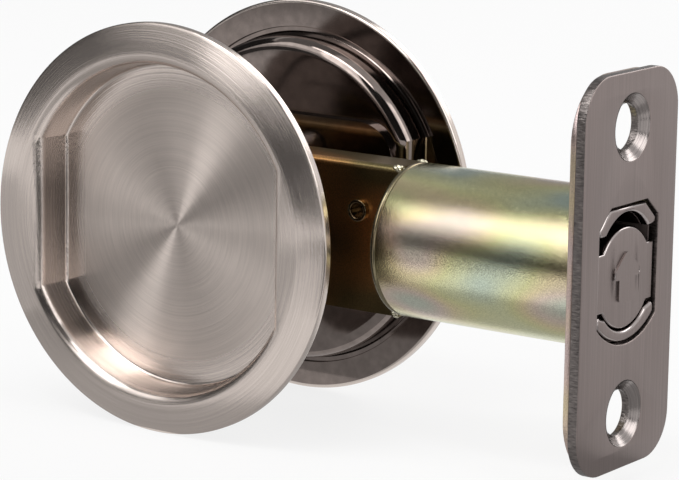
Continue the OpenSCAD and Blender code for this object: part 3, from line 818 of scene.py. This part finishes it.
def countersinks(bm):
    """Cone and land of each screw hole, from the hole's edge in front to the back; the land and the hole's
    wall take the dark sheared-edge colour, partly painted shade inside the hole
    """
    front, land, back = plate_hi.x - sink_step, plate_lo.x + sink_land, plate_lo.x + 0.5 * sink_ease
    profile = ((front, sink_r), (front - sink_ease, sink_r - 0.8 * sink_ease),
               (land + 0.8 * sink_ease, hole_r + sink_ease), (land - 0.5 * sink_ease, hole_r),
               (back, hole_r), (back, sink_r))
    for centre in (hole_half, -hole_half):
        rows = [[bm.verts.new(Vector((x, y, z)) * mm) for y, z in ring(r, centre)] for x, r in profile]
        # Slot 1, the dark sheared edge, on the land and hole wall is partly painted shade in the hole.
        join_rows(bm, rows, (2, 2, 1, 1, 1))
    bmesh.ops.recalc_face_normals(bm, faces=bm.faces)

def painted_hole_shade(bm):
    """Paints the walls of the backing plate's screw holes in the dark sheared-edge colour; the darkness is
    partly a torn edge and partly painted shade in the holes
    """
    for face in bm.faces:
        at = face.calc_center_median() / mm
        if math.hypot(at.y, abs(at.z) - hole_half) < hole_r + 0.5 and abs(face.normal.x) < 0.3:
            face.material_index = 2

blank("plate_face", [rounded(plate_w, plate_h, plate_corner_r), window_loop(), ring(sink_r, hole_half),
                     ring(sink_r, -hole_half)],
      plate_lo.x, plate_hi.x, 0.2, (brushed, sheared, turned), "lockset", "brushed_nickel", "face_plate",
      extra=countersinks)
# The backing plate's screw-hole walls take the dark sheared-edge colour as painted shade inside the holes.
blank("plate_back", [rounded(back_w, back_h, back_plate_corner_r), ring(tube_r, 0, 120),
                     ring(back_hole_r, hole_half), ring(back_hole_r, -hole_half)],
      back_lo.x, back_hi.x - layer_gap, 0.15, (pink_film, pink_film, sheared), "lockset", "zinc_dichromate",
      "back_plate", extra=painted_hole_shade)


# Guide insert: a die cast bush pressed into the tube. Its nose stands in the
# window as an arch above the pull and a crescent below it, with eased edges.
guide_lo, guide_hi = box_mm("guide_insert")
pull_z, gap = -lift / 2, 0.3
guide_r, band_half = 7.6, 4.25
nose_inset, nose_top_inset, nose_sink, bush_gap = 0.35, 0.4, 0.35, 0.11
arch_tip, crescent_tip = 0.9, 0.5
band_top, band_foot = band_half + lift + pull_z + gap, pull_z - band_half - gap

def nose_arch():
    half, top, flat = window_half - nose_inset, window_top - nose_top_inset, window_flat - 0.15
    foot = band_top + 0.35
    slope_foot = top - window_slope + 0.1
    side = math.degrees(math.asin((foot + pull_z) / guide_r))
    loop = [(half, slope_foot), (flat, top), (-flat, top), (-half, slope_foot)]
    loop += arc_points(arch_tip - half, foot + arch_tip, arch_tip, 180, 270, 6)
    loop += arc_points(0, pull_z + lift, guide_r, 180 - side, side, 28)
    return loop + arc_points(half - arch_tip, foot + arch_tip, arch_tip, 270, 360, 6)

def nose_crescent():
    half, r = window_half - nose_inset, window_r - nose_inset
    foot = band_foot - 0.1 - crescent_tip
    side = math.degrees(math.acos(half / r))
    inner = math.degrees(math.acos((half - 2 * crescent_tip) / guide_r)) + 16
    loop = arc_points(0, window_arc_z, r, 180 + side, 360 - side, 30)
    loop += arc_points(half - crescent_tip, foot, crescent_tip, 0, 140, 6)
    loop += arc_points(0, pull_z, guide_r, -inner, inner - 180, 28)
    return loop + arc_points(crescent_tip - half, foot, crescent_tip, 40, 180, 6)

bush_hole = [(window_half, band_top)]
bush_hole += arc_points(0, pull_z + lift, guide_r, 40, 140, 24)
bush_hole += [(-window_half, band_top), (-window_half, band_foot)]
bush_hole += arc_points(0, pull_z, guide_r, 220, 320, 24) + [(window_half, band_foot)]
blank("guide_bush", [ring(bore_r - bush_gap, 0, 96), bush_hole], guide_lo.x, plate_lo.x - layer_gap, 0.1,
      (brushed, brushed), "lockset", "brushed_nickel", "guide_insert")
for name, loop in (("guide_arch", nose_arch()), ("guide_crescent", nose_crescent())):
    blank(name, [loop], plate_lo.x - nose_sink, guide_hi.x, 0.5, (brushed, polished), "lockset",
          "brushed_nickel", "guide_insert", edge_below=0.98)


# Finger pull: a die cast head, round with a guide band across it, and a raised
# arrow that shows which way it lifts. Its neck and shank run back to the stem.
pull_lo, pull_hi = box_mm("edge_pull")
head_r, band_half_w, head_t, shank_r, shank_l = 7.3, 7.6, 4.2, 6.5, 7
neck_w, neck_corner_r, arrow_rise, sunk = 8, 1, 0.35, 0.3
head_front = pull_hi.x - arrow_rise
head_back, shank_front = head_front - head_t, pull_lo.x + shank_l
band_turn = math.degrees(math.asin(band_half / head_r))
head = arc_points(0, pull_z, head_r, band_turn, 180 - band_turn, 30)
head += [(-band_half_w, pull_z + band_half), (-band_half_w, pull_z - band_half)]
head += arc_points(0, pull_z, head_r, 180 + band_turn, 360 - band_turn, 30)
head += [(band_half_w, pull_z - band_half), (band_half_w, pull_z + band_half)]

def arrow_loop():
    """An upward arrow; each corner is a curve that starts and ends at a distance r from it"""
    shaft, barb, tail_z, barb_z, wing_z, tip_z = 2, 3.4, -3.2, 0.2, 0.9, 3.9
    corners = ((shaft, tail_z, 0.7), (shaft, barb_z, 0.4), (barb, barb_z, 0.6), (barb, wing_z, 0.6),
               (0, tip_z, 0.9), (-barb, wing_z, 0.6), (-barb, barb_z, 0.6), (-shaft, barb_z, 0.4),
               (-shaft, tail_z, 0.7))
    steps = 5
    loop = []
    for i, (y, z, r) in enumerate(corners):
        at = Vector((y, z))
        before = at + (Vector(corners[i - 1][:2]) - at).normalized() * r
        after = at + (Vector(corners[(i + 1) % len(corners)][:2]) - at).normalized() * r
        for k in range(steps + 1):
            s = k / steps
            point = before * (1 - s) ** 2 + at * 2 * s * (1 - s) + after * s ** 2
            loop.append((point.x, point.y + pull_z))
    return loop

blank("pull_head", [head], head_back, head_front, 0.35, (brushed, polished), "pull", "brushed_nickel",
      "edge_pull", edge_below=0.98)
blank("pull_arrow", [arrow_loop()], head_front - sunk, pull_hi.x, 0.2, (brushed, polished), "pull",
      "brushed_nickel", "edge_pull", edge_below=0.98)
blank("pull_neck", [rounded(neck_w, neck_w, neck_corner_r, 5, pull_z)], shank_front - 0.2, head_back + 0.1,
      0.1, (brushed, brushed), "pull", "brushed_nickel", "edge_pull")
blank("pull_shank", [ring(shank_r, pull_z)], pull_lo.x, shank_front, 0.3, (brushed, brushed), "pull",
      "brushed_nickel", "edge_pull")
